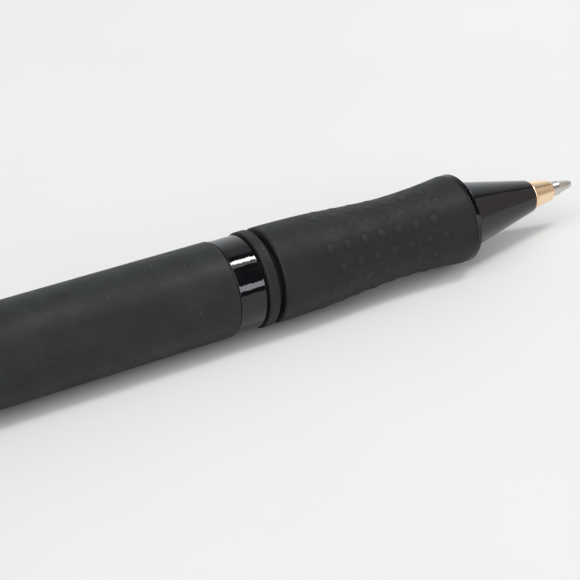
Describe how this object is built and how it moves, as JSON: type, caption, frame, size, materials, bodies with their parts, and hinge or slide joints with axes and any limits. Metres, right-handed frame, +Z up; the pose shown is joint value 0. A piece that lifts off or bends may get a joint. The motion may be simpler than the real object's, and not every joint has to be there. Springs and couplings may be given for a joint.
{
  "type": "retractable ballpoint pen",
  "caption": "Push-button ballpoint pen with a waisted rubber grip, gloss nose cone, metal nozzle and satin barrel with a clip, lying with its point out.",
  "frame": {"origin": "on the pen's axis at the front edge of the barrel, where the front section screws in", "axes": "+X along the pen's axis towards the writing point, +Z up with the pen lying on its side, +Y away from the viewer and over the clip"},
  "size_m": [0.142, 0.0156, 0.0133],
  "materials": {
    "rose_gold": "polished rose-gold plating with fine turning lines",
    "gloss_black": "polished black",
    "grip_rubber": "matt soft rubber with low raised dots",
    "washer_rubber": "matt",
    "black_lacquer": "satin black lacquer over fine turned rings",
    "brass": "turned",
    "white_plastic": "moulded",
    "grey_plastic": "moulded",
    "clear_tube": "translucent extruded tube",
    "steel": "turned stainless steel",
    "carbide": "ground ball",
    "ink": "wet ink, stands in for a liquid",
    "follower_gel": "translucent grease",
    "spring_steel": "drawn wire"
  },
  "bodies": {
    "barrel": {"barrel": "black_lacquer", "barrel_bush": "brass", "cam_housing": "white_plastic", "end_cap": "rose_gold", "clip_collar": "rose_gold"},
    "screw_ring": {"joint_washer": "washer_rubber"},
    "front_section": {"nozzle": "rose_gold", "nose_cone": "gloss_black", "grip_core": "gloss_black", "grip_sleeve": "grip_rubber", "return_spring": "spring_steel"},
    "button": {"push_button": "rose_gold", "plunger": "grey_plastic"},
    "refill": {"refill_plug": "white_plastic", "refill_tube": "clear_tube", "refill_neck": "white_plastic", "refill_point": "steel", "ink_column": "ink", "ink_follower": "follower_gel"},
    "rotor": {"rotor": "grey_plastic"},
    "ball": {"refill_ball": "carbide"},
    "clip": {"clip": "rose_gold"}
  },
  "joints": [
    {"name": "front_withdraw", "type": "slide", "parent": "barrel", "child": "screw_ring", "axis": [1, 0, 0], "range_m": [0, 0.009]},
    {"name": "front_unscrew", "type": "hinge", "parent": "screw_ring", "child": "front_section", "pos_m": [0, 0, 0], "axis": [1, 0, 0], "range_deg": [0, 1081]},
    {"name": "button_press", "type": "slide", "parent": "barrel", "child": "button", "axis": [1, 0, 0], "range_m": [-0.0055, 0.0012], "stiffness_N_per_m": 300, "deforming": ["return_spring"]},
    {"name": "refill_slide", "type": "slide", "parent": "barrel", "child": "refill", "axis": [1, 0, 0], "range_m": [-0.00551, 0.00121]},
    {"name": "rotor_index", "type": "hinge", "parent": "refill", "child": "rotor", "pos_m": [-0.0455, 0, 0], "axis": [1, 0, 0], "range_deg": [-45.1, 9.9]},
    {"name": "ball_roll", "type": "hinge", "parent": "refill", "child": "ball", "pos_m": [0.0591, 0, 0], "axis": [0, 1, 0], "continuous": true},
    {"name": "clip_flex", "type": "hinge", "parent": "barrel", "child": "clip", "pos_m": [-0.0722, 0.00644, -0.00403], "axis": [0, 0.5305, 0.8477], "range_deg": [0, 4], "stiffness_Nm_per_rad": 1.8}
  ],
  "couplings": [
    {"joint": "front_unscrew", "follows": "front_withdraw", "rad_per_m": 2094.4},
    {"joint": "refill_slide", "follows": "button_press", "ratio": 1},
    {"joint": "rotor_index", "follows": "button_press", "rad_per_m": 142.8}
  ]
}
